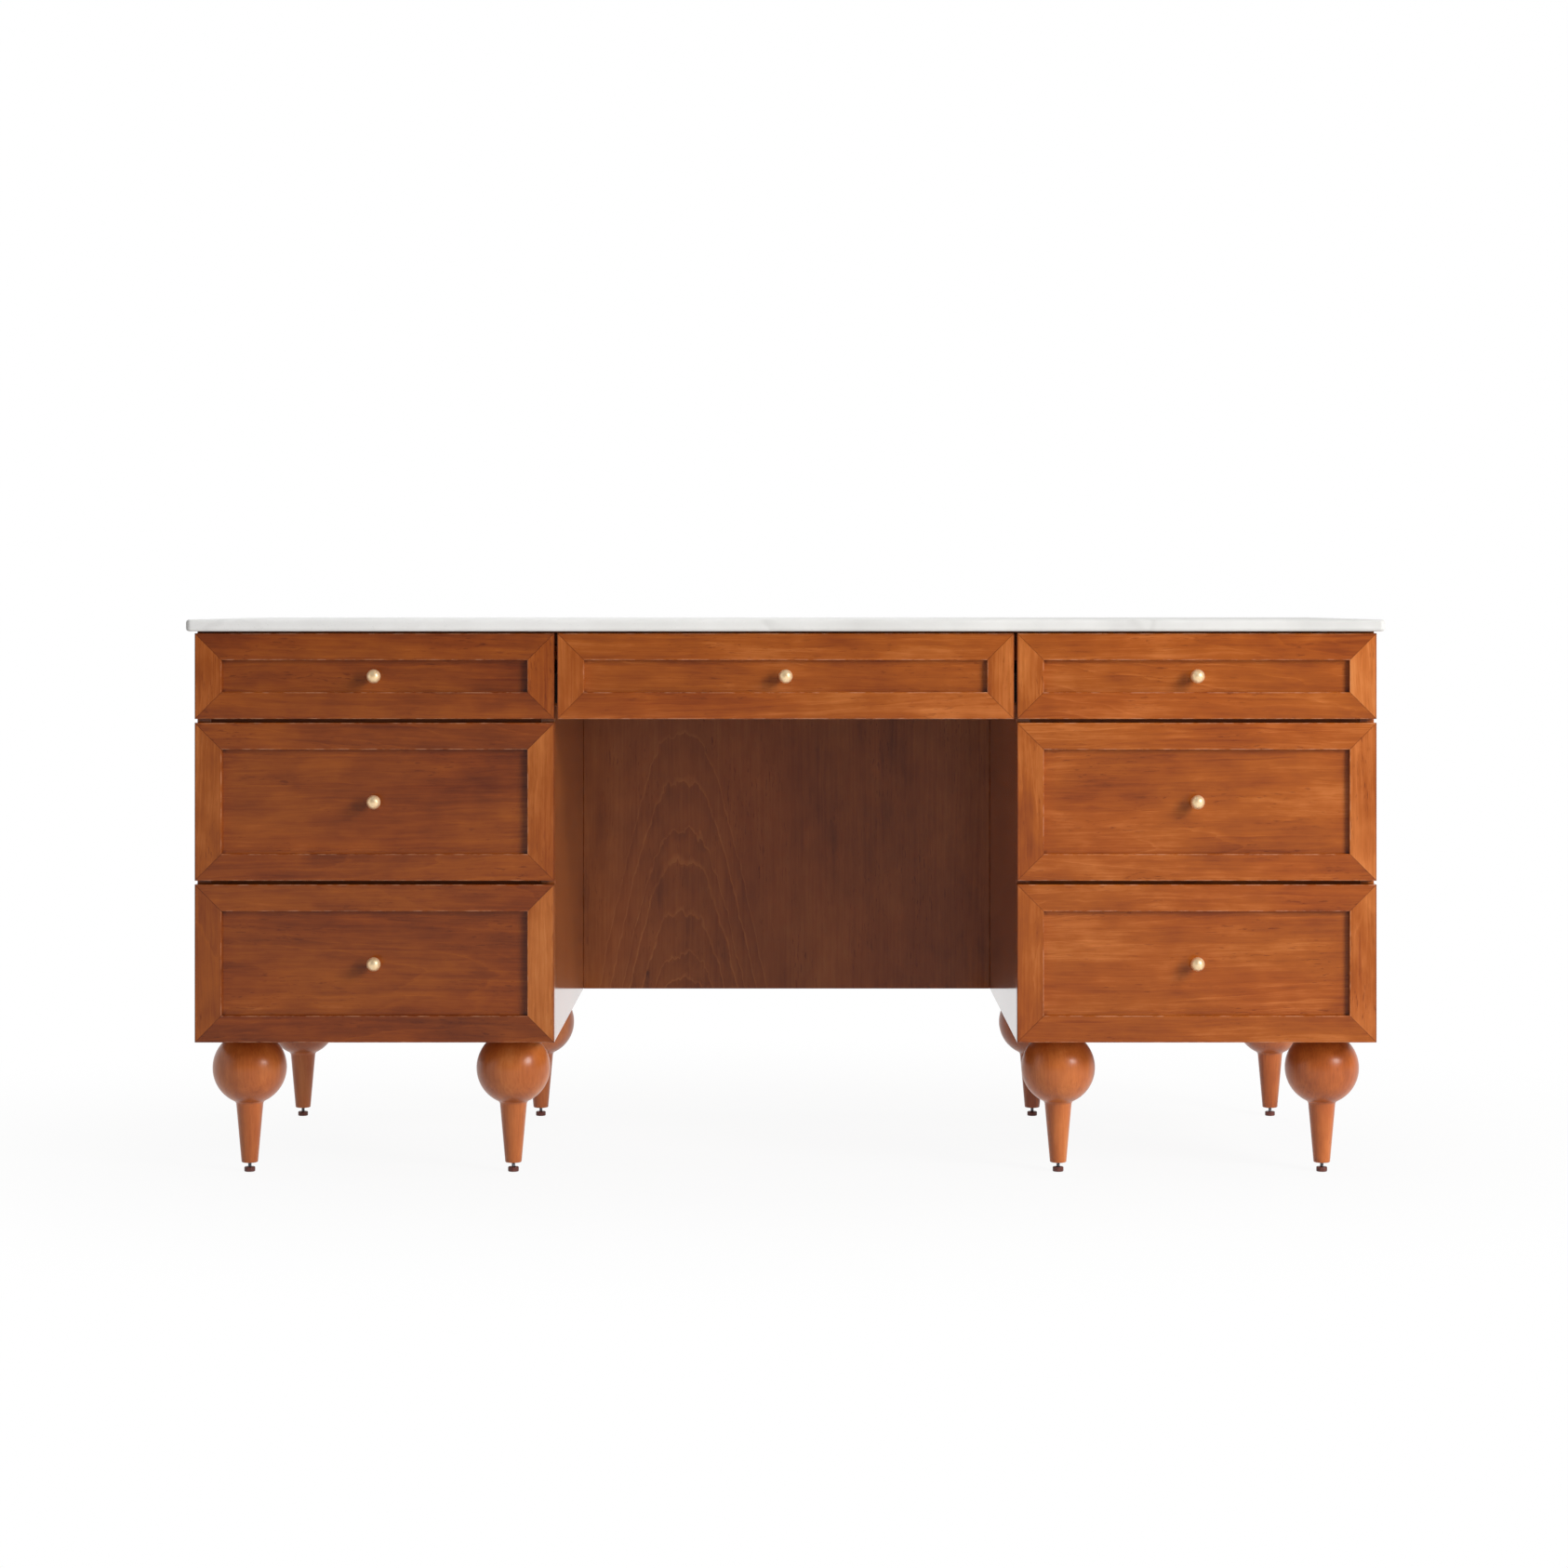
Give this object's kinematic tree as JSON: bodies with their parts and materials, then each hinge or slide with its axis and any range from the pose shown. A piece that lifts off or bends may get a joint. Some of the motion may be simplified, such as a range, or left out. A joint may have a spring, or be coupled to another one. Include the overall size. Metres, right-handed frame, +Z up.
{
  "type": "executive desk",
  "caption": "Executive desk with a pale stone top, two drawer pedestals, a centre drawer over an open kneehole, turned ball legs and screw-in levellers.",
  "frame": {"origin": "on the floor, at the bottom centre of the whole desk's box", "axes": "+X to the right as seen from the front, -Y towards the sitter, +Z up"},
  "size_m": [1.626, 0.7196, 0.762],
  "materials": {
    "stone": "polished pale stone with faint grey veins",
    "front_wood": "satin lacquered cherry, fine dark pores",
    "case_wood": "satin lacquered cherry veneer",
    "leg_wood": "satin lacquered turned cherry",
    "frame_wood": "stained hardwood, sealed",
    "drawer_wood": "clear lacquered birch",
    "knob_brass": "satin brass",
    "zinc_steel": "bright zinc plate",
    "leveller_pad": "brown moulded nylon"
  },
  "bodies": {
    "carcass": {"stone_top": "stone", "sub_top": "frame_wood", "modesty_panel": "case_wood", "left_outer_side": "case_wood", "left_inner_side": "case_wood", "left_back_panel": "case_wood", "left_bottom_panel": "frame_wood", "right_outer_side": "case_wood", "right_inner_side": "case_wood", "right_back_panel": "case_wood", "right_bottom_panel": "frame_wood", "drawer_rails": "frame_wood", "slide_cabinet_members": "zinc_steel", "legs": "leg_wood", "leg_bolts": "zinc_steel", "leg_nuts": "zinc_steel", "leveller_inserts": "zinc_steel"},
    "left_bottom_drawer": {"left_bottom_drawer_front": "front_wood", "left_bottom_drawer_box": "drawer_wood", "left_bottom_knob": "knob_brass", "left_bottom_slide_drawer_members": "zinc_steel"},
    "left_bottom_slide": {"left_bottom_slide_middle_members": "zinc_steel"},
    "left_middle_drawer": {"left_middle_drawer_front": "front_wood", "left_middle_drawer_box": "drawer_wood", "left_middle_knob": "knob_brass", "left_middle_slide_drawer_members": "zinc_steel"},
    "left_middle_slide": {"left_middle_slide_middle_members": "zinc_steel"},
    "left_top_drawer": {"left_top_drawer_front": "front_wood", "left_top_drawer_box": "drawer_wood", "left_top_knob": "knob_brass", "left_top_slide_drawer_members": "zinc_steel"},
    "left_top_slide": {"left_top_slide_middle_members": "zinc_steel"},
    "right_bottom_drawer": {"right_bottom_drawer_front": "front_wood", "right_bottom_drawer_box": "drawer_wood", "right_bottom_knob": "knob_brass", "right_bottom_slide_drawer_members": "zinc_steel"},
    "right_bottom_slide": {"right_bottom_slide_middle_members": "zinc_steel"},
    "right_middle_drawer": {"right_middle_drawer_front": "front_wood", "right_middle_drawer_box": "drawer_wood", "right_middle_knob": "knob_brass", "right_middle_slide_drawer_members": "zinc_steel"},
    "right_middle_slide": {"right_middle_slide_middle_members": "zinc_steel"},
    "right_top_drawer": {"right_top_drawer_front": "front_wood", "right_top_drawer_box": "drawer_wood", "right_top_knob": "knob_brass", "right_top_slide_drawer_members": "zinc_steel"},
    "right_top_slide": {"right_top_slide_middle_members": "zinc_steel"},
    "centre_drawer": {"centre_drawer_front": "front_wood", "centre_drawer_box": "drawer_wood", "centre_knob": "knob_brass", "centre_slide_drawer_members": "zinc_steel"},
    "centre_slide": {"centre_slide_middle_members": "zinc_steel"},
    "left_front_outer_foot": {"left_front_outer_leveller": "leveller_pad"},
    "left_back_outer_foot": {"left_back_outer_leveller": "leveller_pad"},
    "left_front_inner_foot": {"left_front_inner_leveller": "leveller_pad"},
    "left_back_inner_foot": {"left_back_inner_leveller": "leveller_pad"},
    "right_front_outer_foot": {"right_front_outer_leveller": "leveller_pad"},
    "right_back_outer_foot": {"right_back_outer_leveller": "leveller_pad"},
    "right_front_inner_foot": {"right_front_inner_leveller": "leveller_pad"},
    "right_back_inner_foot": {"right_back_inner_leveller": "leveller_pad"}
  },
  "joints": [
    {"name": "left_bottom_drawer_pull", "type": "slide", "parent": "carcass", "child": "left_bottom_drawer", "axis": [0, -1, 0], "range_m": [0, 0.48]},
    {"name": "left_bottom_slide_run", "type": "slide", "parent": "carcass", "child": "left_bottom_slide", "axis": [0, -1, 0], "range_m": [0, 0.24]},
    {"name": "left_middle_drawer_pull", "type": "slide", "parent": "carcass", "child": "left_middle_drawer", "axis": [0, -1, 0], "range_m": [0, 0.48]},
    {"name": "left_middle_slide_run", "type": "slide", "parent": "carcass", "child": "left_middle_slide", "axis": [0, -1, 0], "range_m": [0, 0.24]},
    {"name": "left_top_drawer_pull", "type": "slide", "parent": "carcass", "child": "left_top_drawer", "axis": [0, -1, 0], "range_m": [0, 0.48]},
    {"name": "left_top_slide_run", "type": "slide", "parent": "carcass", "child": "left_top_slide", "axis": [0, -1, 0], "range_m": [0, 0.24]},
    {"name": "right_bottom_drawer_pull", "type": "slide", "parent": "carcass", "child": "right_bottom_drawer", "axis": [0, -1, 0], "range_m": [0, 0.48]},
    {"name": "right_bottom_slide_run", "type": "slide", "parent": "carcass", "child": "right_bottom_slide", "axis": [0, -1, 0], "range_m": [0, 0.24]},
    {"name": "right_middle_drawer_pull", "type": "slide", "parent": "carcass", "child": "right_middle_drawer", "axis": [0, -1, 0], "range_m": [0, 0.48]},
    {"name": "right_middle_slide_run", "type": "slide", "parent": "carcass", "child": "right_middle_slide", "axis": [0, -1, 0], "range_m": [0, 0.24]},
    {"name": "right_top_drawer_pull", "type": "slide", "parent": "carcass", "child": "right_top_drawer", "axis": [0, -1, 0], "range_m": [0, 0.48]},
    {"name": "right_top_slide_run", "type": "slide", "parent": "carcass", "child": "right_top_slide", "axis": [0, -1, 0], "range_m": [0, 0.24]},
    {"name": "centre_drawer_pull", "type": "slide", "parent": "carcass", "child": "centre_drawer", "axis": [0, -1, 0], "range_m": [0, 0.48]},
    {"name": "centre_slide_run", "type": "slide", "parent": "carcass", "child": "centre_slide", "axis": [0, -1, 0], "range_m": [0, 0.24]},
    {"name": "left_front_outer_level", "type": "slide", "parent": "carcass", "child": "left_front_outer_foot", "axis": [0, 0, -1], "range_m": [-0.006, 0.012]},
    {"name": "left_back_outer_level", "type": "slide", "parent": "carcass", "child": "left_back_outer_foot", "axis": [0, 0, -1], "range_m": [-0.006, 0.012]},
    {"name": "left_front_inner_level", "type": "slide", "parent": "carcass", "child": "left_front_inner_foot", "axis": [0, 0, -1], "range_m": [-0.006, 0.012]},
    {"name": "left_back_inner_level", "type": "slide", "parent": "carcass", "child": "left_back_inner_foot", "axis": [0, 0, -1], "range_m": [-0.006, 0.012]},
    {"name": "right_front_outer_level", "type": "slide", "parent": "carcass", "child": "right_front_outer_foot", "axis": [0, 0, -1], "range_m": [-0.006, 0.012]},
    {"name": "right_back_outer_level", "type": "slide", "parent": "carcass", "child": "right_back_outer_foot", "axis": [0, 0, -1], "range_m": [-0.006, 0.012]},
    {"name": "right_front_inner_level", "type": "slide", "parent": "carcass", "child": "right_front_inner_foot", "axis": [0, 0, -1], "range_m": [-0.006, 0.012]},
    {"name": "right_back_inner_level", "type": "slide", "parent": "carcass", "child": "right_back_inner_foot", "axis": [0, 0, -1], "range_m": [-0.006, 0.012]}
  ],
  "couplings": [
    {"joint": "left_bottom_slide_run", "follows": "left_bottom_drawer_pull", "ratio": 0.5},
    {"joint": "left_middle_slide_run", "follows": "left_middle_drawer_pull", "ratio": 0.5},
    {"joint": "left_top_slide_run", "follows": "left_top_drawer_pull", "ratio": 0.5},
    {"joint": "right_bottom_slide_run", "follows": "right_bottom_drawer_pull", "ratio": 0.5},
    {"joint": "right_middle_slide_run", "follows": "right_middle_drawer_pull", "ratio": 0.5},
    {"joint": "right_top_slide_run", "follows": "right_top_drawer_pull", "ratio": 0.5},
    {"joint": "centre_slide_run", "follows": "centre_drawer_pull", "ratio": 0.5}
  ]
}
